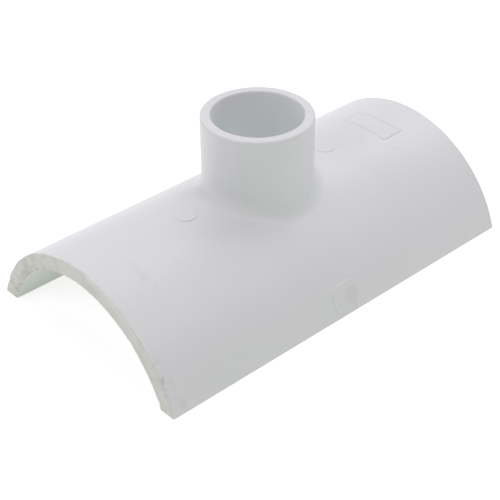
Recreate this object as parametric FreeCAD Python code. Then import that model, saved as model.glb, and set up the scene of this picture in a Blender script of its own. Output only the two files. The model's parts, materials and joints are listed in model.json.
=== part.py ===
import FreeCAD, Part
import math
import os

# A tapping saddle for a rigid plastic pressure pipeline, moulded in one piece.
# It is cemented over the main pipe, and a branch pipe is cemented into its socket.
# The main pipe lies along X and the branch stands up along Z. The shapes are built about the
# crossing of the two pipes' axes, and then set down so that the feet stand on the ground plane.

# The pipes that meet in the saddle
main_pipe_diameter = 88.9
branch_pipe_diameter = 33.55

# The shell that lies over the main pipe
shell_length = 166.0
shell_wall = 6.5
seat_clearance = 0.15
foot_height = 15.3
outer_edge_radius = 0.5
seat_edge_radius = 0.4

# The branch socket on the crown of the shell
socket_wall = 4.0
socket_rise = 27.8
socket_depth = 29.0
socket_clearance = 0.1
rim_radius = 0.35
root_fillet = 6.5

# The waterway from the foot of the socket into the main pipe
waterway_diameter = 27.0
waterway_edge_radius = 0.5

# The witness marks that the mould's ejector pins leave on the crown
pad_radius = 4.2
pad_rise = 0.15
pad_spacing = 70.0

# How far a cutting body runs past the face that it cuts through
overrun = 5.0

seat_radius = main_pipe_diameter / 2 + seat_clearance
shell_radius = seat_radius + shell_wall
bore_radius = branch_pipe_diameter / 2 + socket_clearance
socket_radius = bore_radius + socket_wall
waterway_radius = waterway_diameter / 2
socket_top = shell_radius + socket_rise
stop_height = socket_top - socket_depth
rim_rounding = min(rim_radius, socket_wall / 3)
tolerance = 0.001


def along_main(radius, length):
    """A round bar about the main pipe's axis, centred on the branch."""
    start = FreeCAD.Vector(-length / 2, 0, 0)
    return Part.makeCylinder(radius, length, start, FreeCAD.Vector(1, 0, 0))


def upright(radius, low, high, x=0.0):
    """A round bar that stands along the branch's direction."""
    return Part.makeCylinder(radius, high - low, FreeCAD.Vector(x, 0, low))


def shell_blank():
    """The part of the shell's outer round that stands above the feet, still solid."""
    half_angle = math.acos(foot_height / shell_radius)
    half_width = shell_radius * math.sin(half_angle)
    start = -shell_length / 2
    left_foot = FreeCAD.Vector(start, -half_width, foot_height)
    crown = FreeCAD.Vector(start, 0, shell_radius)
    right_foot = FreeCAD.Vector(start, half_width, foot_height)
    arch = Part.Arc(left_foot, crown, right_foot).toShape()
    base = Part.LineSegment(right_foot, left_foot).toShape()
    section = Part.Face(Part.Wire([arch, base]))
    return section.extrude(FreeCAD.Vector(shell_length, 0, 0))


def joins_rounds(edge, standing_radius, lying_radius):
    """True for the curve where an upright round and a round along the main pipe meet."""
    first, last = edge.ParameterRange
    for share in (0.1, 0.35, 0.6, 0.9):
        point = edge.valueAt(first + share * (last - first))
        on_standing = abs(math.hypot(point.x, point.y) - standing_radius) < tolerance
        on_lying = abs(math.hypot(point.y, point.z) - lying_radius) < tolerance
        if not (on_standing and on_lying):
            return False
    return True


def solid_body():
    """The shell's blank with the socket on it, blended by the fillet at the socket's foot."""
    body = shell_blank().fuse(upright(socket_radius, foot_height, socket_top)).removeSplitter()
    seam = [edge for edge in body.Edges if joins_rounds(edge, socket_radius, shell_radius)]
    return body.makeFillet(root_fillet, seam)


def branch_passage():
    """The stepped hole: the socket's bore, the ledge that stops the branch pipe, the waterway."""
    bore = upright(bore_radius, stop_height, socket_top + overrun)
    waterway = upright(waterway_radius, 0, socket_top)
    return bore.fuse(waterway)


def ejector_pads():
    """Flat round witness marks that stand a hair above the crown, one each side of the socket."""
    top = shell_radius + pad_rise
    low = shell_radius - shell_wall / 2
    return [upright(pad_radius, low, top, side * pad_spacing / 2) for side in (-1, 1)]


def is_ring(edge, radius, height):
    """True for a level circle of this radius about the branch's axis."""
    curve = edge.Curve
    if not isinstance(curve, Part.Circle):
        return False
    level = abs(abs(curve.Axis.z) - 1) < tolerance and abs(curve.Center.z - height) < tolerance
    return level and abs(curve.Radius - radius) < tolerance


def is_end_arc(edge, radius):
    """True for an arc of this radius that bounds one end face of the shell."""
    curve = edge.Curve
    if not isinstance(curve, Part.Circle):
        return False
    at_end = abs(abs(curve.Center.x) - shell_length / 2) < tolerance
    return at_end and abs(curve.Radius - radius) < tolerance


def is_foot_edge(edge, radius):
    """True for a long edge of a foot, on the round of this radius."""
    first, last = edge.Vertexes[0].Point, edge.Vertexes[-1].Point
    at_foot = abs(first.z - foot_height) < tolerance and abs(last.z - foot_height) < tolerance
    runs_lengthwise = abs(first.x - last.x) > shell_length / 2
    return at_foot and runs_lengthwise and abs(math.hypot(first.y, first.z) - radius) < tolerance


def bounds_shell(edge, radius):
    return is_end_arc(edge, radius) or is_foot_edge(edge, radius)


def soften(body, radius, chosen):
    """Round the edges that a test picks."""
    return body.makeFillet(radius, [edge for edge in body.Edges if chosen(edge)])


def break_edges(body):
    """Round the edges that the mould leaves slightly soft."""
    body = soften(body, rim_rounding, lambda edge: is_ring(edge, socket_radius, socket_top))
    body = soften(body, rim_rounding, lambda edge: is_ring(edge, bore_radius, socket_top))
    body = soften(body, outer_edge_radius, lambda edge: bounds_shell(edge, shell_radius))
    body = soften(body, seat_edge_radius, lambda edge: bounds_shell(edge, seat_radius))
    return soften(body, waterway_edge_radius, lambda edge: joins_rounds(edge, waterway_radius, seat_radius))


def saddle():
    body = solid_body()
    body = body.cut(along_main(seat_radius, shell_length + 2 * overrun))
    body = body.cut(branch_passage())
    body = break_edges(body)
    body = body.fuse(ejector_pads()).removeSplitter()
    body.translate(FreeCAD.Vector(0, 0, -foot_height))
    return body


os.makedirs("parts", exist_ok=True)
shape = saddle()
if shape.ShapeType == "Compound" and len(shape.Solids) == 1:
    shape = shape.Solids[0]
print("solids", len(shape.Solids), "valid", shape.isValid(), "volume", round(shape.Volume, 1))
shape.exportStep("parts/saddle.step")
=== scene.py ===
# Looks of the tapping saddle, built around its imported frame
import json
import math

import bmesh
import bpy
import numpy as np
from mathutils import Matrix, Vector, noise


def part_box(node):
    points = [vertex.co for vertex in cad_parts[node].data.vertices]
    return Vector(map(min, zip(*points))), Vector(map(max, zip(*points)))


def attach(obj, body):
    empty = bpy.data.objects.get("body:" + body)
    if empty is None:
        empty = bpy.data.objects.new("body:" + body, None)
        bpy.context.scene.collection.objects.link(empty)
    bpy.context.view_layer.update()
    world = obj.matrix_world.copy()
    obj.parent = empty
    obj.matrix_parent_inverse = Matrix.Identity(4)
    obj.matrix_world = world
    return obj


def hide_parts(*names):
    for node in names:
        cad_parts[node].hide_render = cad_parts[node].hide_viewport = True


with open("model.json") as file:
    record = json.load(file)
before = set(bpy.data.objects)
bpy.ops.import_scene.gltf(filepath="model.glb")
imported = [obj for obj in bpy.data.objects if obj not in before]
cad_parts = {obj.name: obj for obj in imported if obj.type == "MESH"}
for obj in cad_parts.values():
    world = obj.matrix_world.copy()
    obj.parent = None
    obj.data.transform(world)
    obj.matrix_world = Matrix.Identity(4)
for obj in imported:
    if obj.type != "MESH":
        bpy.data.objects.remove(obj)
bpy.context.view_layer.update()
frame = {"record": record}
mm = 0.001


def mountSize(name, key):
    mount = next(m for m in frame["record"]["mounts"] if m["name"] == name)
    return mount["dims"][key]


# Sizes of the moulding in mm, with heights above the main pipe's axis.
# That axis lies axisDrop under the floor, so addPiece() sets everything down by that much.
form = {
    "wall": 6.5,
    "axisDrop": 15.3,
    "socketWall": 4.0,
    "socketDepth": 29.0,
    "bellDepth": 3.0,        # the mouth opens like a bell, over this depth
    "bellFlare": 0.30,       # and by this much
    "bellInside": 0.6,       # share of the flare that lies inside the bore's nominal radius
    "bellLip": 0.4,          # how far the lip bends further out, as a share of the flare
    "mouthRounding": 0.5,
    "rimRounding": 0.9,
    "rootFillet": 6.5,
    "waterwayRadius": 13.5,
    "waterwayEdge": 0.5,
    "stopEdge": 0.25,        # soft corners of the ledge that stops the branch pipe
}
lowCorner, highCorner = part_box("saddle")
seatRadius = mountSize("pipe_seat", "r_mm")
boreRadius = mountSize("branch_socket", "r_mm")
shellRadius = seatRadius + form["wall"]
socketRadius = boreRadius + form["socketWall"]
halfLength = (highCorner.x - lowCorner.x) / mm / 2
socketTop = (highCorner.z - lowCorner.z) / mm + form["axisDrop"]
stopHeight = socketTop - form["socketDepth"]
outerSpread = math.acos(form["axisDrop"] / shellRadius)   # angle from the crown to a foot, outside
innerSpread = math.acos(form["axisDrop"] / seatRadius)


# Shader building: a wrapped socket takes part in plain expressions

class Value:
    def __init__(self, maker, socket):
        self.maker = maker
        self.socket = socket

    def __add__(self, other):
        return self.maker.calc("ADD", self, other)

    def __radd__(self, other):
        return self.maker.calc("ADD", other, self)

    def __sub__(self, other):
        return self.maker.calc("SUBTRACT", self, other)

    def __rsub__(self, other):
        return self.maker.calc("SUBTRACT", other, self)

    def __mul__(self, other):
        return self.maker.calc("MULTIPLY", self, other)

    def __rmul__(self, other):
        return self.maker.calc("MULTIPLY", other, self)


class Finish:
    def __init__(self, holder):
        holder.use_nodes = True
        self.tree = holder.node_tree
        self.tree.nodes.clear()

    def add(self, kind, settings=None, sockets=None, output=0):
        node = self.tree.nodes.new(kind)
        for key, value in (settings or {}).items():
            setattr(node, key, value)
        pairs = enumerate(sockets) if isinstance(sockets, list) else (sockets or {}).items()
        for key, value in pairs:
            if isinstance(value, Value):
                self.tree.links.new(value.socket, node.inputs[key])
            else:
                node.inputs[key].default_value = value
        return Value(self, node.outputs[output]) if len(node.outputs) else None

    def calc(self, operation, first, second):
        return self.add("ShaderNodeMath", {"operation": operation}, [first, second])

    def onVector(self, operation, *sockets, output=0):
        return self.add("ShaderNodeVectorMath", {"operation": operation}, list(sockets), output)

    def place(self):
        return self.add("ShaderNodeTexCoord", output="Object")

    def part(self, vector, axis):
        return self.add("ShaderNodeSeparateXYZ", {}, [vector], output=axis)

    def where(self, stretch=(1.0, 1.0, 1.0), turn=(0.0, 0.0, 0.0)):
        return self.add("ShaderNodeMapping", {}, {"Vector": self.place(), "Scale": stretch, "Rotation": turn})

    def cloud(self, vector, scale, detail, roughness):
        sockets = {"Vector": vector, "Scale": scale, "Detail": detail, "Roughness": roughness}
        return self.add("ShaderNodeTexNoise", {}, sockets)

    def ease(self, value, low, high, toLow=0.0, toHigh=1.0):
        return self.add("ShaderNodeMapRange", {"interpolation_type": "SMOOTHSTEP"},
                        [value, low, high, toLow, toHigh])

    def band(self, value, start, reach, toLow=0.0, toHigh=1.0):
        # The same between two distances from a start, all in mm
        low, high = reach
        return self.ease(value, (start + low) * mm, (start + high) * mm, toLow, toHigh)

    def blend(self, mask, first, second):
        first = first if isinstance(first, Value) else (*first, 1.0)
        second = second if isinstance(second, Value) else (*second, 1.0)
        return self.add("ShaderNodeMix", {"data_type": "RGBA"}, {0: mask, 6: first, 7: second}, output=2)

    def larger(self, first, second):
        return self.calc("MAXIMUM", first, second)

    def length(self, first, second):
        # Length of the vector that has these two parts
        return self.calc("POWER", first * first + second * second, 0.5)

    def looked(self):
        # 1 for what the camera sees, straight or in a gloss
        straight = self.add("ShaderNodeLightPath", output="Is Camera Ray")
        return self.larger(straight, self.add("ShaderNodeLightPath", output="Is Glossy Ray"))


# Dirt, darker patches, and painted shade in one chip, each spot with a radius in mm and a strength

dirt = {
    "sway": 0.0018,          # how far the outlines of the spots waver, in metres
    "swayGrain": (900.0, 2.0),            # noise per metre, and its detail
    "fullTo": 0.2,           # a spot is at full strength up to this share of its radius
    "goneAt": 1.1,           # and has faded out at this one
    "specks": [              # on the shell: along the pipe, across it, radius, strength; the strong chain from (-81.3, -42.1) on, along the sawn edge by the front foot, is painted shade in the chip there
        (-53.0, -16.2, 1.1, 0.13), (-65.9, -20.7, 1.1, 0.12), (-65.6, 15.6, 1.0, 0.10),
        (57.4, -16.2, 1.3, 0.16), (32.8, -29.4, 1.0, 0.12), (-20.5, -44.3, 1.0, 0.07),
        (-80.8, -39.0, 1.2, 0.15), (-79.5, -43.6, 1.5, 0.11), (-79.2, -44.5, 1.1, 0.10),
        (-79.0, -45.2, 0.9, 0.12), (-77.4, -47.6, 1.8, 0.15), (-78.5, -46.9, 1.5, 0.11),
        (-79.3, -46.2, 1.1, 0.08), (-81.3, -42.1, 0.6, 0.26), (-81.6, -42.4, 0.7, 0.38),
        (-81.9, -42.7, 0.8, 0.48), (-82.2, -43.1, 0.9, 0.50), (-82.3, -43.5, 0.8, 0.46),
        (-82.3, -43.9, 0.7, 0.36), (-82.1, -44.3, 0.6, 0.26), (-82.8, -45.4, 1.0, 0.44),
        (-82.8, -45.7, 0.8, 0.30),
    ],
    "smudges": [             # wide and faint darker patches, given the same way; the last four darken the inside of the gate mark
        (-66.6, -11.5, 2.6, 0.055), (-66.6, -15.4, 2.8, 0.075), (-62.5, 0.5, 3.4, 0.030),
        (49.0, -3.5, 3.2, 0.040), (45.0, -5.8, 1.8, 0.060), (51.5, 4.5, 3.0, 0.030),
        (3.6, -46.3, 4.6, 0.160), (-1.6, -46.6, 4.6, 0.050), (-5.0, -45.7, 1.6, 0.140),
        (3.4, -47.9, 2.6, 0.100),
    ],
    "cut": [                 # on the sawn face: across the pipe, above the floor, then the same
        (25.6, 22.3, 1.1, 0.42), (22.6, 23.7, 0.9, 0.36), (21.5, 24.2, 0.9, 0.34), (20.4, 24.8, 0.9, 0.36),
        (19.2, 25.3, 0.8, 0.32), (18.1, 25.8, 0.8, 0.26), (26.8, 24.4, 0.9, 0.28), (39.1, 11.8, 1.8, 0.24),
        (38.3, 8.9, 1.5, 0.28), (43.3, 6.6, 1.3, 0.26), (43.0, 3.6, 1.4, 0.22), (36.4, 14.9, 1.3, 0.16),
        (28.9, 26.0, 1.4, 0.14), (-42.6, 4.2, 1.1, 0.16), (-45.2, 1.9, 0.8, 0.24), (-39.8, 18.0, 1.2, 0.12),
    ],
    "rim": [                 # on the outside of the socket: direction in degrees, height above the floor
        (-92.5, 62.8, 0.55, 0.55), (-94.0, 62.5, 0.5, 0.35), (-96.5, 62.4, 0.8, 0.12),
        (-142.0, 62.9, 0.5, 0.12),
    ],
}


def onShell(x, y):
    height = math.sqrt(shellRadius ** 2 - y ** 2) - form["axisDrop"]
    return (x * mm, y * mm, height * mm)


def onSocket(direction, height):
    angle = math.radians(direction)
    return (socketRadius * math.cos(angle) * mm, socketRadius * math.sin(angle) * mm, height * mm)


def onCut(y, height):
    return (-halfLength * mm, y * mm, height * mm)


def spots(f, kind, place):
    # Soft uneven spots, put on the moulding by the function place
    grain, detail = dirt["swayGrain"]
    here = f.place()
    sway = f.add("ShaderNodeTexNoise", {}, {"Vector": here, "Scale": grain, "Detail": detail}, output="Color")
    sway = f.onVector("SUBTRACT", sway, (0.5, 0.5, 0.5))
    here = f.onVector("MULTIPLY_ADD", sway, (dirt["sway"],) * 3, here)
    total = 0.0
    for first, second, radius, strength in dirt[kind]:
        gap = f.onVector("DISTANCE", here, place(first, second), output="Value")
        spot = f.ease(gap, radius * dirt["fullTo"] * mm, radius * dirt["goneAt"] * mm, strength, 0.0)
        total = f.larger(total, spot)
    return total


# The one material of the whole moulding

plastic = {
    "body": (0.860, 0.865, 0.872),
    "cloud": (0.876, 0.878, 0.889),       # slow clouding left by the flow in the mould
    "seat": (0.800, 0.850, 0.795),        # painted shade: the seat under the arch is greener and darker than the body, and darker still towards the crown
    "seatHigh": (0.735, 0.780, 0.725),
    "bore": (0.935, 0.928, 0.940),        # painted light: the bore of the socket is paler than the outside
    # deeper in the bore the painted light is weaker: less pale and greener, a painted shade
    "boreDeep": (0.885, 0.912, 0.910),
    "burr": (0.925, 0.925, 0.925),        # painted highlight along the outer edge of the cut, high up near the crown
    "rubbed": (0.920, 0.908, 0.885),      # painted light: the cut is paler towards its rubbed-round outer edge near the crown
    "sawn": (0.805, 0.803, 0.765),        # the cut end is a little creamier
    "stain": (0.620, 0.610, 0.540),
    "speck": (0.50, 0.47, 0.42),
    "ior": 1.53,
    "roughness": 0.34,
    "rougher": {"clouds": 0.07, "scuffs": 0.10, "seat": 0.12, "cut": 0.28},
    "relief": {"peel": 0.35, "ripple": 1.2, "scuffs": 0.25, "kerf": 2.2, "crumbs": 2.6},
    "bump": (0.5, 0.00006),               # strength, and depth in metres
    "grains": {              # the noises: scale per metre, detail, roughness
        "clouds": (26.0, 3.0, 0.5),
        "blotches": (90.0, 4.0, 0.6),
        "kerf": (1.0, 4.0, 0.6),
        "crumbs": (420.0, 5.0, 0.7),
        "stain": (110.0, 3.0, 0.6),
        "burr": (260.0, 2.0, 0.5),
        "scuffs": (1.0, 4.0, 0.6),
        "peel": (700.0, 2.0, 0.5),
        "ripple": (60.0, 1.0, 0.4),
    },
    "shown": {               # between which values a noise comes through
        "clouds": (0.35, 0.7),
        "blotches": (0.42, 0.75),
        "cutTone": (0.45, 0.70),
        "burr": (0.40, 0.62),
        "crumbs": (0.35, 0.65),
        "scuffs": (0.55, 0.75),
    },
    "blotchStretch": (1.0, 1.0, 1.6),
    "kerfStretch": (1300.0, 9.0),         # across the wall per metre, along the arch per radian
    "scuffStretch": (70.0, 900.0, 900.0),
    "scuffTurn": (0.0, 0.0, 0.25),
    "filmShare": (0.7, 0.3),              # even part of the seat's painted shade, blotchy part
    "cutTone": {"kerf": 0.30, "crumbs": 0.32, "stain": 0.42, "inside": 0.06},
    "soiled": (0.45, 0.75),               # how stained the near leg is, and how much more the far leg is
    "rubbedShare": 0.8,
    "burrShare": 0.8,
    "dirtShare": (0.65, 0.6),             # even part of the dirt, crumbly part
    "fleckGrain": 95.0,      # specks scattered by the mould: cells per metre, how rare, how large, how dark
    "fleckRarity": 0.93,
    "fleckSize": 0.032,
    "fleckShare": 0.35,
}
zones = {                    # where tones begin and end, in mm
    "cut": (0.5, 1.1),       # in from the sawn end
    "cutFacing": (-0.90, -0.30),     # no length: how squarely a face looks along the pipe
    "seat": (0.2, 0.5),      # off the seat
    "bore": (0.1, 0.4),      # off the bore
    "boreDeep": 14.0,        # below the mouth, over which the bore's painted light fades to a greener, darker tone
    "film": (7.0, 24.0),     # above the floor, over which the seat's painted shade darkens towards the crown
    "inside": (0.4, 3.5),    # off the seat, where the cut is a little dirtier
    "soiled": (8.0, 36.0),   # across the pipe
    "rubbedFrom": (-34.0, -20.0),
    "rubbedTo": (-7.0, -1.0),
    "rubbedEdge": (-3.4, 0.4),       # against the outside of the shell
    "burrEdge": (-0.7, -0.2),
    "burrDepth": (0.3, 0.9),         # in from the sawn end
    "burrHeight": (24.0, 34.0),
}


def makeWhitePvc():
    material = bpy.data.materials.new("whitePvc")
    f = Finish(material)
    here = f.place()
    alongPipe, across, up = [f.part(here, axis) for axis in ("X", "Y", "Z")]
    endward = f.part(f.add("ShaderNodeNewGeometry", output="True Normal"), "X")
    atEnd = f.band(alongPipe, -halfLength, zones["cut"], 1.0, 0.0)
    sawn = atEnd * f.ease(endward, *zones["cutFacing"], 1.0, 0.0)

    def grain(name, vector=None):
        return f.cloud(vector or f.where(), *plastic["grains"][name])

    # painted shade on the seat under the arch, and painted light in the bore of the socket, which is paler
    # than the outside
    aboveAxis = up + form["axisDrop"] * mm
    axisGap = f.length(across, aboveAxis)
    inSeat = f.band(axisGap, seatRadius, zones["seat"], 1.0, 0.0)
    inBore = f.band(f.length(alongPipe, across), boreRadius, zones["bore"], 1.0, 0.0)
    mouthHeight = socketTop - form["axisDrop"]
    # painted light in the bore, fading deeper down into painted shade
    boreLightFade = f.band(up, mouthHeight, (-zones["boreDeep"], 0.0), 1.0, 0.0)

    shown = plastic["shown"]
    clouds = f.ease(grain("clouds"), *shown["clouds"])
    blotches = f.ease(grain("blotches", f.where(plastic["blotchStretch"])), *shown["blotches"])
    body = f.blend(clouds, plastic["body"], plastic["cloud"])
    body = f.blend(inBore, body, f.blend(boreLightFade, plastic["bore"], plastic["boreDeep"]))
    # painted shade under the arch: the seat goes greener and darker, and darker still higher up towards the
    # crown
    film = f.blend(f.band(up, 0.0, zones["film"]), plastic["seat"], plastic["seatHigh"])
    even, blotchy = plastic["filmShare"]
    body = f.blend(inSeat * (even + blotchy * blotches), body, film)

    # saw marks follow the arch of the cut end, broken up by crumbled patches
    outward, around = plastic["kerfStretch"]
    turned = f.calc("ARCTAN2", across, aboveAxis)
    alongArch = f.add("ShaderNodeCombineXYZ", {}, [axisGap * outward, turned * around, 0.0])
    kerf, crumbs, stain = grain("kerf", alongArch), grain("crumbs"), grain("stain")
    tone = plastic["cutTone"]
    inside = f.band(axisGap, seatRadius, zones["inside"], tone["inside"], 0.0)
    nearLeg, farLeg = plastic["soiled"]
    soiled = nearLeg + farLeg * f.band(across, 0.0, zones["soiled"])
    cutTone = tone["kerf"] * kerf + tone["crumbs"] * crumbs + tone["stain"] * stain + inside
    cut = f.blend(f.ease(cutTone, *shown["cutTone"]) * soiled, plastic["sawn"], plastic["stain"])
    # painted light: the cut pales towards its outer edge, which the mesh rubs round on the near side of the
    # crown, where that rounding catches the top light
    edgeLightRamp = f.band(across, 0.0, zones["rubbedFrom"]) * f.band(across, 0.0, zones["rubbedTo"], 1.0, 0.0)
    edgeLightRamp = edgeLightRamp * f.band(axisGap, shellRadius, zones["rubbedEdge"])
    cut = f.blend(plastic["rubbedShare"] * edgeLightRamp, cut, plastic["rubbed"])
    # painted highlight: a pale streak along the cut's outer edge, only high up, where the top light catches
    # it
    burr = f.band(alongPipe, -halfLength, zones["burrDepth"], 1.0, 0.0)
    burr = burr * f.band(axisGap, shellRadius, zones["burrEdge"])
    burr = burr * f.band(up, 0.0, zones["burrHeight"]) * f.ease(grain("burr"), *shown["burr"])
    colour = f.blend(burr * plastic["burrShare"], f.blend(sawn, body, cut), plastic["burr"])

    # specks that stuck in the mould, dirt, and painted shade in a chip by the front foot
    cell = {"Vector": f.where(), "Scale": plastic["fleckGrain"]}
    gap = f.add("ShaderNodeTexVoronoi", {}, cell)
    pick = f.add("ShaderNodeTexVoronoi", {}, cell, output="Color")
    chance = f.add("ShaderNodeSeparateColor", {}, [pick], output=1)
    size = f.ease(chance, plastic["fleckRarity"], 1.0, 0.0, plastic["fleckSize"])
    scattered = f.calc("LESS_THAN", gap, size)
    known = f.larger(spots(f, "cut", onCut), spots(f, "rim", onSocket))
    known = f.larger(spots(f, "specks", onShell), known)
    marks = f.larger(scattered * plastic["fleckShare"] * (1.0 - sawn), known)
    even, crumbly = plastic["dirtShare"]
    marks = marks * (even + crumbly * f.ease(crumbs, *shown["crumbs"]))
    colour = f.blend(f.larger(marks, spots(f, "smudges", onShell)), colour, plastic["speck"])

    # gloss and fine relief
    scuffs = f.ease(grain("scuffs", f.where(plastic["scuffStretch"], plastic["scuffTurn"])), *shown["scuffs"])
    more = plastic["rougher"]
    rough = plastic["roughness"] + more["clouds"] * clouds + more["scuffs"] * scuffs
    rough = rough + more["seat"] * inSeat + more["cut"] * sawn
    high = plastic["relief"]
    skin = high["peel"] * grain("peel") + high["ripple"] * grain("ripple") + high["scuffs"] * scuffs
    relief = skin * (1.0 - sawn) + sawn * (high["kerf"] * kerf + high["crumbs"] * crumbs)
    strength, depth = plastic["bump"]
    bump = f.add("ShaderNodeBump", {}, {"Strength": strength, "Distance": depth, "Height": relief})
    shader = f.add("ShaderNodeBsdfPrincipled", {},
                   {"Base Color": colour, "Roughness": rough, "Normal": bump, "IOR": plastic["ior"]})
    f.add("ShaderNodeOutputMaterial", {}, {"Surface": shader})
    return material


def addPiece(name, points, faces, material):
    # Points come in mm, with heights above the main pipe's axis
    points = np.array(points, dtype=float)
    points[:, 2] -= form["axisDrop"]
    mesh = bpy.data.meshes.new(name)
    mesh.from_pydata((points * mm).tolist(), [], faces)
    skin = bmesh.new()
    skin.from_mesh(mesh)
    bmesh.ops.recalc_face_normals(skin, faces=skin.faces)
    skin.to_mesh(mesh)
    skin.free()
    mesh.shade_smooth()
    mesh.materials.append(material)
    piece = bpy.data.objects.new(name, mesh)
    bpy.context.scene.collection.objects.link(piece)
    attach(piece, "root")
    return piece


def ringFaces(count, around, closed=False):
    # Four-sided faces between rings that follow each other; closed joins the last ring to the first
    faces = []
    for j in range(count if closed else count - 1):
        below = (j + 1) % count
        for i in range(around):
            beside = (i + 1) % around
            faces.append((j * around + i, j * around + beside, below * around + beside, below * around + i))
    return faces


# Saddle: one closed skin, made of rows that run once around the branch

edges = {
    "moulded": 0.42,         # how far the soft moulded edges reach in from the sharp corner
    "sawn": 0.5,
    "downFace": 0.8,         # how far the outer edge reaches down the end faces, as a share of that
    "corner": 0.55,          # corners of the outline, seen on the unrolled shell
    "cornerSteps": 3,
    "fineStep": 0.6,         # spacing of points along the sawn end
    "coarseStep": 1.8,
    "hold": 0.3,             # a row this close beside each rounding keeps its shading off the large faces
    "holdMost": 0.3,         # though never further in than this share of the stretch
    "cutFade": 3.0,          # the saw's wear fades out over this length before each corner
    "crumb": 0.2,            # depth of the crumbling along the sawn edges
    "crumbGrain": 0.9,       # and its noise, per mm
    "outerSeed": 7.0,
    "innerSeed": 19.0,
    "hollow": (1.4, 0.3),    # bites turn hollow, at most by the first, and half that at the second's depth
    "rows": {                # rows of points over each stretch
        "bore": 8, "bell": 6, "mouth": 5, "rim": 3, "rimEdge": 5, "socket": 10, "fillet": 12, "shell": 36,
        "outerEdge": 8, "end": 10, "innerEdge": 4, "seat": 28, "throatEdge": 4, "throat": 3, "ledge": 3,
        "ledgeEdge": 3,
    },
    "sawnFrom": 5,           # the saw's marks begin at this row of the outer edge's rounding
    "sawnTo": 2,             # and end at this one of the inner edge's
    "setIn": (0.2, 0.8, 4),  # how they come in: strength at first, strength at last, rows
    # bites out of the sawn end's outer edge: arc from the crown, half width, depth
    "chips": [
        (-52.2, 1.8, 1.1), (-56.4, 1.0, 0.7), (-60.0, 0.8, 0.4), (-44.8, 0.9, 0.35), (-3.0, 2.6, 0.4),
        (4.5, 1.8, 0.3), (-24.0, 1.2, 0.2), (-36.0, 1.0, 0.2), (27.0, 1.8, 0.25), (38.0, 1.4, 0.2),
        (49.0, 1.6, 0.25), (58.0, 1.6, 0.3),
    ],
    "rubbed": [(-17.0, 11.0, 0.5)],       # where that edge has been rubbed round, given the same way
    "innerChips": [
        (26.0, 1.5, 0.6), (20.0, 2.4, 0.4), (-30.0, 1.6, 0.2), (44.0, 1.6, 0.3), (-52.0, 1.4, 0.3),
    ],
    # knocks on the socket's rim: direction and half width in degrees, depth in mm
    "rimNicks": [(-92.5, 2.4, 0.35), (-55.5, 3.0, 0.25), (118.0, 2.2, 0.22), (205.0, 1.6, 0.18)],
}


def outline():
    # The shell's outline unrolled flat: points, inward directions and a mask that is 1 on the sawn end
    corner, steps, fade = edges["corner"], edges["cornerSteps"], edges["cutFade"]
    points, inward, sawn = [], [], []

    def side(start, end, step, normal, cut):
        length = math.dist(start, end)
        count = max(2, round(length / step))
        for k in range(count):
            share = k / count
            points.append([a + share * (b - a) for a, b in zip(start, end)])
            inward.append(normal)
            sawn.append(cut * min(1.0, share * length / fade, (1 - share) * length / fade))

    def bend(centre, fromAngle):
        for k in range(steps):
            angle = fromAngle + math.pi / 2 * k / steps
            away = (math.cos(angle), math.sin(angle))
            points.append([centre[0] + corner * away[0], centre[1] + corner * away[1]])
            inward.append((-away[0], -away[1]))
            sawn.append(0.0)

    x, s = halfLength, shellRadius * outerSpread
    fine, coarse = edges["fineStep"], edges["coarseStep"]
    side((x, -s + corner), (x, s - corner), coarse, (-1.0, 0.0), 0.0)
    bend((x - corner, s - corner), 0.0)
    side((x - corner, s), (-x + corner, s), coarse, (0.0, -1.0), 0.0)
    bend((-x + corner, s - corner), math.pi / 2)
    side((-x, s - corner), (-x, -s + corner), fine, (1.0, 0.0), 1.0)
    bend((-x + corner, -s + corner), math.pi)
    side((-x + corner, -s), (x - corner, -s), coarse, (0.0, 1.0), 0.0)
    bend((x - corner, -s + corner), math.pi * 1.5)
    return np.array(points), np.array(inward), np.array(sawn)


def wrap(flat, radius, rise=0.0):
    # From a sheet unrolled at this radius (along the pipe, around it) onto the round, or a little above it
    angle = flat[:, 1] / radius
    return np.column_stack([flat[:, 0], (radius + rise) * np.sin(angle), (radius + rise) * np.cos(angle)])


def between(start, end, count):
    # Rows between two rings, which are left out themselves
    length = np.linalg.norm(end - start, axis=1)[:, None]
    near = np.clip(edges["hold"] / length, 0, edges["holdMost"])
    shares = [near + (1 - 2 * near) * k / count for k in range(1, count)]
    return [start + (end - start) * share for share in [near, *shares, 1 - near]]


def rounded(start, corner, end, steps, hollow=0.0):
    # A soft corner from start to end, drawn towards the sharp corner point, or away from it where hollow
    corner = corner + ((start + end) / 2 - corner) * hollow
    rows = []
    for k in range(steps + 1):
        t = k / steps
        rows.append((1 - t) ** 2 * start + 2 * t * (1 - t) * corner + t * t * end)
    return rows


def level(radius, height, direction):
    return np.column_stack([direction * radius, np.full(len(direction), height)])


def rollFillet(direction, steps):
    # The blend that a ball leaves when it rolls in the corner between socket and shell
    ball = form["rootFillet"]
    centre = direction * (socketRadius + ball)
    rise = np.sqrt((shellRadius + ball) ** 2 - centre[:, 1] ** 2)
    centre = np.column_stack([centre, rise])
    toSocket = np.column_stack([-direction, np.zeros(len(direction))])
    toShell = -np.column_stack([np.zeros(len(direction)), centre[:, 1:]]) / (shellRadius + ball)
    swing = np.arccos(np.clip((toSocket * toShell).sum(axis=1), -1, 1))[:, None]
    rows = []
    for k in range(steps + 1):
        t = k / steps
        away = (np.sin((1 - t) * swing) * toSocket + np.sin(t * swing) * toShell) / np.sin(swing)
        rows.append(centre + ball * away)
    return rows


def bumps(arc, places):
    # Soft bumps along an edge, each a place, a half width and a height
    total = np.zeros(len(arc))
    for place, halfWidth, height in places:
        total += height * np.exp(-((arc - place) / halfWidth) ** 2)
    return total


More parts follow.
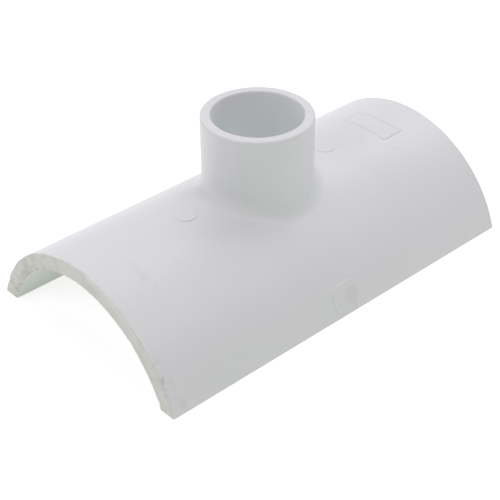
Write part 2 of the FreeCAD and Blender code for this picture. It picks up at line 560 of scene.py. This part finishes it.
def eatenEdge(arc, sawn, bites, seed):
    # How far each point of an edge is eaten in, and how hollow: soft where moulded, chipped where sawn
    depth, grain = edges["crumb"], edges["crumbGrain"]
    bite = bumps(arc, bites)
    bite += np.array([depth * max(0.0, noise.noise(Vector((0.0, s * grain, seed)))) for s in arc])
    bite = (bite * sawn)[:, None]
    reach = (edges["moulded"] + (edges["sawn"] - edges["moulded"]) * sawn)[:, None] + bite
    most, halfWay = edges["hollow"]
    return reach, most * bite / (bite + halfWay)


def knockedRim(angle):
    # Extra rounding of the rim where it has been knocked
    extra = np.zeros(len(angle))
    for direction, halfWidth, depth in edges["rimNicks"]:
        gap = (np.degrees(angle) - direction + 180) % 360 - 180
        extra += bumps(gap, [(0.0, halfWidth, depth)])
    return extra


def saddleRows():
    flat, inward, sawn = outline()
    angle = np.arctan2(flat[:, 1], flat[:, 0])
    direction = np.column_stack([np.cos(angle), np.sin(angle)])
    counts = edges["rows"]
    rows = []

    # socket: bore, mouth, rim, outside wall and the fillet at its foot
    stop, mouth = form["stopEdge"], form["mouthRounding"]
    rim = (form["rimRounding"] + knockedRim(angle))[:, None]
    bellDepth, flare = form["bellDepth"], form["bellFlare"]
    deepRadius = boreRadius - flare * form["bellInside"]
    mouthRadius = deepRadius + flare
    boreLow = level(deepRadius, stopHeight + stop, direction)
    boreHigh = level(deepRadius, socketTop - bellDepth, direction)
    bell = level(deepRadius, socketTop - bellDepth / 2, direction)
    mouthLow = level(mouthRadius, socketTop - mouth, direction)
    mouthBend = level(mouthRadius + flare * form["bellLip"], socketTop, direction)
    rimIn = level(mouthRadius + mouth, socketTop, direction)
    rimSharp = level(socketRadius, socketTop, direction)
    rimOut = np.column_stack([direction * (socketRadius - rim), rimSharp[:, 2:]])
    wallHigh = np.column_stack([rimSharp[:, :2], rimSharp[:, 2:] - rim])
    fillet = rollFillet(direction, counts["fillet"])
    rows += [boreLow] + between(boreLow, boreHigh, counts["bore"])
    rows += rounded(boreHigh, bell, mouthLow, counts["bell"])
    rows += rounded(mouthLow, mouthBend, rimIn, counts["mouth"])[1:]
    rows += between(rimIn, rimOut, counts["rim"])
    rows += rounded(rimOut, rimSharp, wallHigh, counts["rimEdge"])
    rows += between(wallHigh, fillet[0], counts["socket"])
    rows += fillet

    # outside of the shell, from the fillet to the outline
    eaten, hollow = eatenEdge(flat[:, 1], sawn, edges["chips"], edges["outerSeed"])
    eaten += (bumps(flat[:, 1], edges["rubbed"]) * sawn)[:, None]
    foot = fillet[-1]
    footFlat = np.column_stack([foot[:, 0], shellRadius * np.arctan2(foot[:, 1], foot[:, 2])])
    edgeFlat = flat + inward * eaten
    rows += [wrap(sheet, shellRadius) for sheet in between(footFlat, edgeFlat, counts["shell"])]

    # rounded outer edge, end faces and feet, rounded inner edge
    sharpOut = wrap(flat, shellRadius)
    innerFlat = flat * np.array([1.0, seatRadius * innerSpread / (shellRadius * outerSpread)])
    sharpIn = wrap(innerFlat, seatRadius)
    depth = np.linalg.norm(sharpIn - sharpOut, axis=1)[:, None]
    seatEaten, seatHollow = eatenEdge(innerFlat[:, 1], sawn, edges["innerChips"], edges["innerSeed"])
    faceOut = sharpOut + (sharpIn - sharpOut) * eaten * edges["downFace"] / depth
    faceIn = sharpIn + (sharpOut - sharpIn) * seatEaten / depth
    firstCut = len(rows) + edges["sawnFrom"]
    rows += rounded(wrap(edgeFlat, shellRadius), sharpOut, faceOut, counts["outerEdge"], hollow)
    rows += between(faceOut, faceIn, counts["end"])
    lastCut = len(rows) + edges["sawnTo"]
    innerEdge = innerFlat + inward * seatEaten
    rows += rounded(faceIn, sharpIn, wrap(innerEdge, seatRadius), counts["innerEdge"], seatHollow)

    # seat, from the inner edge to the waterway
    ease, throat = form["waterwayEdge"], form["waterwayRadius"]
    ringArc = seatRadius * np.arcsin(direction[:, 1] * (throat + ease) / seatRadius)
    ringFlat = np.column_stack([direction[:, 0] * (throat + ease), ringArc])
    rows += [wrap(sheet, seatRadius) for sheet in between(innerEdge, ringFlat, counts["seat"])]
    corner = direction * throat
    cornerRise = np.sqrt(seatRadius ** 2 - corner[:, 1] ** 2)
    throatSharp = np.column_stack([corner, cornerRise])
    throatLow = np.column_stack([corner, cornerRise + ease])
    rows += rounded(wrap(ringFlat, seatRadius), throatSharp, throatLow, counts["throatEdge"])

    # waterway and the ledge that stops the branch pipe
    throatHigh = level(throat, stopHeight - stop, direction)
    ledgeIn = level(throat + stop, stopHeight, direction)
    ledgeOut = level(deepRadius - stop, stopHeight, direction)
    rows += between(throatLow, throatHigh, counts["throat"])
    rows += rounded(throatHigh, level(throat, stopHeight, direction), ledgeIn, counts["ledgeEdge"])
    rows += between(ledgeIn, ledgeOut, counts["ledge"])
    rows += rounded(ledgeOut, level(deepRadius, stopHeight, direction), boreLow, counts["ledgeEdge"])[:-1]

    # how strongly the saw marks each point
    cut = np.zeros((len(rows), len(flat)))
    cut[firstCut:lastCut] = sawn
    weak, strong, count = edges["setIn"]
    cut[firstCut:firstCut + count] *= np.linspace(weak, strong, count)[:, None]
    return np.array(rows), cut


sawMarks = {                 # noises are given per mm
    "waver": 0.16,           # slow waver of the cut, across its whole face
    "waverGrain": 0.05,
    "waverSeed": 3.0,
    "ridge": 0.13,           # ridges left by the blade's teeth
    "ridgePitch": 1.3,
    "ridgeSlant": 0.4,
    "ridgeGrain": 0.15,      # along the ridges
    "ridgeSeed": 11.0,
}


def roughenCut(rows, cut):
    # Move the points of the sawn face along the pipe
    grain, slant = sawMarks["waverGrain"], sawMarks["ridgeSlant"]
    for j, i in zip(*np.nonzero(cut)):
        x, y, z = rows[j, i]
        slow = noise.noise(Vector((y * grain, z * grain, sawMarks["waverSeed"])))
        across = (y * slant + z) / sawMarks["ridgePitch"]
        along = (y - slant * z) * sawMarks["ridgeGrain"]
        ridge = noise.noise(Vector((across, along, sawMarks["ridgeSeed"])))
        rows[j, i, 0] = x + cut[j, i] * abs(sawMarks["waver"] * slow + sawMarks["ridge"] * ridge)
    return rows


waves = {                    # the skin of a moulding is never quite true, in mm
    "sunk": 0.03,            # how low it lies on average
    "slow": (0.05, 0.045),   # height of the waves, and their noise per mm
    "quick": (0.02, 0.15),
    "fade": 8.0,             # above this height over the feet they are at their full strength
}


def softWaves(rows):
    slow, slowGrain = waves["slow"]
    quick, quickGrain = waves["quick"]
    for row in rows:
        for point in row:
            p = Vector(point)
            fade = min(1.0, max(0.0, (p.z - form["axisDrop"]) / waves["fade"]))
            drop = waves["sunk"] + slow * noise.noise(p * slowGrain) + quick * noise.noise(p * quickGrain)
            point[2] -= fade * drop
    return rows


def makeSaddle(material):
    rows, cut = saddleRows()
    rows = roughenCut(softWaves(rows), cut)
    count, around = rows.shape[:2]
    piece = addPiece("saddleMoulding", rows.reshape(-1, 3), ringFaces(count, around, True), material)
    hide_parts("saddle")
    print("saddle moulding:", count, "rows of", around, "points")


# Raised marks on the shell, each a closed patch that is sunk a little into the skin

def closePatch(name, points, around, lowMiddle, highMiddle, material):
    # Rings from the sunk underside up to the top, closed at both ends by a fan
    points = [tuple(p) for p in points]
    count = len(points) // around
    faces = ringFaces(count, around)
    last = (count - 1) * around
    low, high = len(points), len(points) + 1
    faces += [(low, (i + 1) % around, i) for i in range(around)]
    faces += [(high, last + i, last + (i + 1) % around) for i in range(around)]
    addPiece(name, points + [tuple(lowMiddle), tuple(highMiddle)], faces, material)


roundPads = {
    "pieces": [{"name": "ejectorMarkNear", "x": -35.0}, {"name": "ejectorMarkFar", "x": 35.0}],
    "rise": 0.15,            # how far they stand above the crown
    "radius": 4.2,
    "around": 72,
    # distance in from the side, and height against the flat top
    "profile": [
        (0.0, -1.1), (0.0, -0.25), (0.02, -0.13), (0.1, -0.04),
        (0.24, 0.0), (0.6, 0.0), (1.9, 0.0), (3.1, 0.0),
    ],
}


def makeRoundPad(pad, material):
    top = shellRadius + roundPads["rise"]
    around = roundPads["around"]
    points = []
    for inset, height in roundPads["profile"]:
        for k in range(around):
            turn = 2 * math.pi * k / around
            r = roundPads["radius"] - inset
            points.append((pad["x"] + r * math.cos(turn), r * math.sin(turn), top + height))
    bottom = top + roundPads["profile"][0][1]
    closePatch(pad["name"], points, around, (pad["x"], 0.0, bottom), (pad["x"], 0.0, top), material)


plates = {
    "sink": 0.7,
    # rings of the underside and of the top, as shares of the outline's size
    "underShares": (0.25, 0.5, 0.75, 1.0),
    "topShares": (0.86, 0.7, 0.52, 0.34, 0.16),
    "perSide": 14,           # points along each side and around each corner
    "perCorner": 5,
    "leastCorner": 0.05,     # a corner's radius never gets smaller than this
    # place along the pipe and around it from the crown, size along and around, corner, turn;
    # then a profile from the side inwards: distance in, height above the shell
    "pieces": [
        {"name": "barePanel", "place": (62.2, 0.3), "size": (11.4, 23.2), "corner": 1.0, "turn": 0.03,
         "profile": [(0.0, -0.02), (0.16, 0.13), (0.34, 0.26), (0.55, 0.33), (1.0, 0.35), (1.5, 0.34),
                     (1.64, 0.27), (1.76, 0.08), (1.86, 0.01), (2.2, 0.0), (2.8, 0.0)]},
        {"name": "bareStripNear", "place": (-65.9, -12.4), "size": (4.6, 11.5), "corner": 2.2, "turn": -0.2,
         "profile": [(0.0, -0.03), (0.4, 0.03), (0.7, 0.10), (1.1, 0.16), (1.5, 0.20), (2.0, 0.21)]},
        {"name": "bareStripFar", "place": (49.4, -1.4), "size": (5.4, 14.0), "corner": 2.4, "turn": 0.0,
         "profile": [(0.0, -0.03), (0.4, 0.03), (0.7, 0.09), (1.1, 0.14), (1.5, 0.17), (2.0, 0.18)]},
        {"name": "gateMark", "place": (0.5, -57.3), "size": (12.0, 10.4), "corner": 2.0, "turn": 0.03,
         "profile": [(0.0, -0.02), (0.14, 0.10), (0.3, 0.20), (0.55, 0.25), (0.9, 0.23), (1.3, 0.12),
                     (1.8, 0.05)]},
    ],
}


def roundedRectangle(width, height, corner, inset):
    # Outline points of a plate, the same number at every inset
    perSide, perCorner = plates["perSide"], plates["perCorner"]
    halfW, halfH = width / 2 - inset, height / 2 - inset
    r = max(corner - inset, plates["leastCorner"])
    signs = [(1, 1), (-1, 1), (-1, -1), (1, -1)]

    def onCorner(k, angle):
        sx, sy = signs[k % 4]
        return (sx * (halfW - r) + r * math.cos(angle), sy * (halfH - r) + r * math.sin(angle))

    points = []
    for k in range(4):
        for step in range(perCorner + 1):
            points.append(onCorner(k, (k + step / perCorner) * math.pi / 2))
        start, goal = points[-1], onCorner(k + 1, (k + 1) * math.pi / 2)
        for step in range(1, perSide):
            share = step / perSide
            points.append([a + share * (b - a) for a, b in zip(start, goal)])
    return np.array(points)


def makePlate(plate, material):
    c, s = math.cos(plate["turn"]), math.sin(plate["turn"])
    turn = np.array([[c, s], [-s, c]])
    middle = np.array([plate["place"]])
    sink = -plates["sink"]

    def ring(inset, rise, share=1.0):
        flat = roundedRectangle(*plate["size"], plate["corner"], inset) * share
        return wrap(flat @ turn + middle, shellRadius, rise)

    lastInset, lastRise = plate["profile"][-1]
    rings = [ring(0.0, sink, share) for share in plates["underShares"]]
    rings += [ring(inset, rise) for inset, rise in plate["profile"]]
    rings += [ring(lastInset, lastRise, share) for share in plates["topShares"]]
    low, high = wrap(middle, shellRadius, sink), wrap(middle, shellRadius, lastRise)
    softWaves(rings + [low, high])
    closePatch(plate["name"], np.concatenate(rings), len(rings[0]), low[0], high[0], material)


white = makeWhitePvc()
makeSaddle(white)
for pad in roundPads["pieces"]:
    makeRoundPad(pad, white)
for plate in plates["pieces"]:
    makePlate(plate, white)
print("raised marks ready")

# Table, light and camera

studio = {
    "sky": 0.211,             # even light from all round
    "skyColour": (0.941, 1.0, 0.864),
    "backdrop": (1.0, 1.0, 1.0),
    "tableHalf": 3.0,         # half the table's side, in metres
    "table": (0.90, 0.90, 0.90),
    "tableGlow": 0.220,       # the table is softly lit from below, as a product table is
    "glowColour": (0.957, 1.0, 0.935),
    "tableShown": 0.585,      # strength and colour of that glow as the camera sees it
    "shownColour": (1.0, 0.965, 1.0),
    "whiteFrom": (0.5, 1.2),  # between these distances the table goes over into the white backdrop
    "lampColour": (0.945, 0.912, 1.0),
    "lamps": [
        {"name": "topSoftbox", "place": (0.05, 0.1, 1.1), "size": 0.9, "power": 2.15},
        {"name": "backSoftbox", "place": (0.25, 0.95, 0.9), "size": 0.9, "power": 1.85},
        {"name": "backSpot", "place": (0.56, 0.27, 0.88), "size": 0.4, "power": 0.85},
        {"name": "leftSoftbox", "place": (-0.95, 0.2, 0.8), "size": 0.8, "power": 2.00},
        {"name": "lowLeftSoftbox", "place": (-0.85, 0.75, 0.25), "size": 0.8, "power": 1.56},
        {"name": "rightSoftbox", "place": (1.0, 0.1, 0.8), "size": 0.8, "power": 1.83},
        {"name": "frontSoftbox", "place": (0.25, -0.6, 1.0), "size": 0.8, "power": 2.59},
    ],
}


def makeTable():
    half = studio["tableHalf"]
    corners = [(-half, -half, 0.0), (half, -half, 0.0), (half, half, 0.0), (-half, half, 0.0)]
    mesh = bpy.data.meshes.new("studioTable")
    mesh.from_pydata(corners, [], [(0, 1, 2, 3)])
    table = bpy.data.objects.new("studioTable", mesh)
    bpy.context.scene.collection.objects.link(table)
    paper = bpy.data.materials.new("tablePaper")
    f = Finish(paper)
    shown = f.looked()
    sheet = f.add("ShaderNodeBsdfDiffuse", {}, {"Color": (*studio["table"], 1.0)})
    strength = studio["tableGlow"] + shown * (studio["tableShown"] - studio["tableGlow"])
    tone = f.blend(shown, studio["glowColour"], studio["shownColour"])
    glow = f.add("ShaderNodeEmission", {}, {"Color": tone, "Strength": strength})
    near = f.add("ShaderNodeAddShader", {}, [sheet, glow])
    gap = f.onVector("LENGTH", f.place(), output="Value")
    white = f.add("ShaderNodeEmission", {}, {"Color": (*studio["backdrop"], 1.0), "Strength": 1.0})
    mixed = f.add("ShaderNodeMixShader", {}, [f.ease(gap, *studio["whiteFrom"]) * shown, near, white])
    f.add("ShaderNodeOutputMaterial", {}, {"Surface": mixed})
    mesh.materials.append(paper)


def makeSky():
    world = bpy.data.worlds.new("studioSky")
    bpy.context.scene.world = world
    f = Finish(world)
    fill = f.add("ShaderNodeBackground", {}, [(*studio["skyColour"], 1.0), studio["sky"]])
    white = f.add("ShaderNodeBackground", {}, [(*studio["backdrop"], 1.0), 1.0])
    mixed = f.add("ShaderNodeMixShader", {}, [f.looked(), fill, white])
    f.add("ShaderNodeOutputWorld", {}, {"Surface": mixed})


def makeLamp(lamp):
    light = bpy.data.lights.new(lamp["name"], "AREA")
    light.shape = "DISK"
    light.size = lamp["size"]
    light.energy = lamp["power"]
    light.color = studio["lampColour"]
    item = bpy.data.objects.new(lamp["name"], light)
    item.location = lamp["place"]
    item.rotation_euler = (-Vector(lamp["place"])).to_track_quat("-Z", "Y").to_euler()
    bpy.context.scene.collection.objects.link(item)


view = {
    "place": (-276.6, -298.4, 289.1),     # the photograph's own viewpoint, in mm from the middle of the feet
    "right": (0.735860, -0.677114, -0.005205),
    "up": (0.391913, 0.419622, 0.818732),
    "lens": 92.91,
    "sensor": 36.0,
    "clipStart": 0.01,
}


def makeCamera():
    camera = bpy.data.cameras.new("photoCamera")
    camera.lens = view["lens"]
    camera.sensor_width = view["sensor"]
    camera.clip_start = view["clipStart"]
    right = Vector(view["right"]).normalized()
    up = Vector(view["up"]).normalized()
    back = right.cross(up)
    item = bpy.data.objects.new("photoCamera", camera)
    turn = Matrix((right, up, back)).transposed().to_4x4()
    item.matrix_world = Matrix.Translation(Vector(view["place"]) * mm) @ turn
    bpy.context.scene.collection.objects.link(item)
    bpy.context.scene.camera = item


makeTable()
makeSky()
for lamp in studio["lamps"]:
    makeLamp(lamp)
makeCamera()
bpy.context.scene.view_settings.view_transform = "Standard"
print("studio ready")
